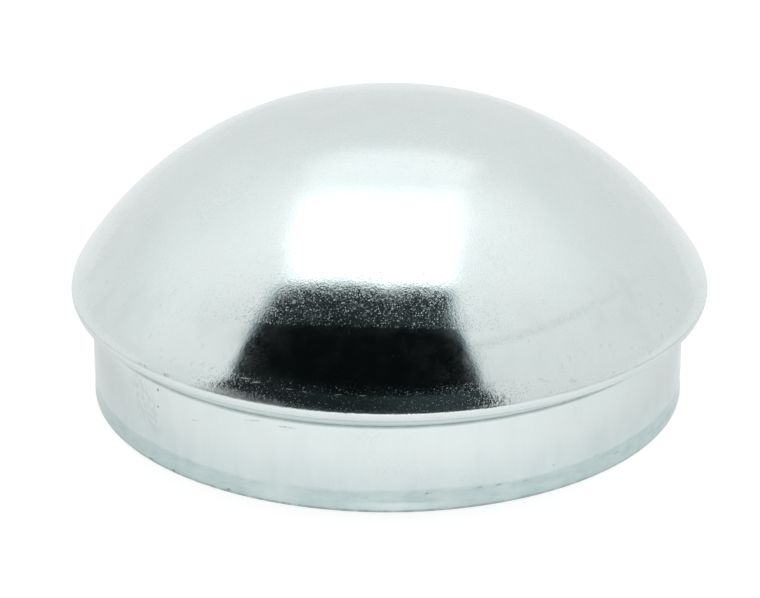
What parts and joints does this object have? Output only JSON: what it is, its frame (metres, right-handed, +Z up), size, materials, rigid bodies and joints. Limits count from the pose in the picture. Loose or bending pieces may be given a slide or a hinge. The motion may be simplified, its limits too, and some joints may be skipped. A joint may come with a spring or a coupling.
{
  "type": "fence post cap",
  "caption": "Domed sheet-steel cap with a rolled bead and a short straight skirt that slips over the top of a round fence post.",
  "frame": {"origin": "centre of the open mouth, in the plane of the skirt's bottom edge", "axes": "+Z up along the axis of the post, from the mouth to the crown of the dome; X and Y are equivalent because the cap is a body of revolution"},
  "size_m": [0.0677, 0.0678, 0.0309],
  "materials": {
    "galvanised_steel": "zinc-coated, semi-bright with a fine even grain"
  },
  "bodies": {
    "root": {"cap_shell": "galvanised_steel"}
  },
  "joints": []
}
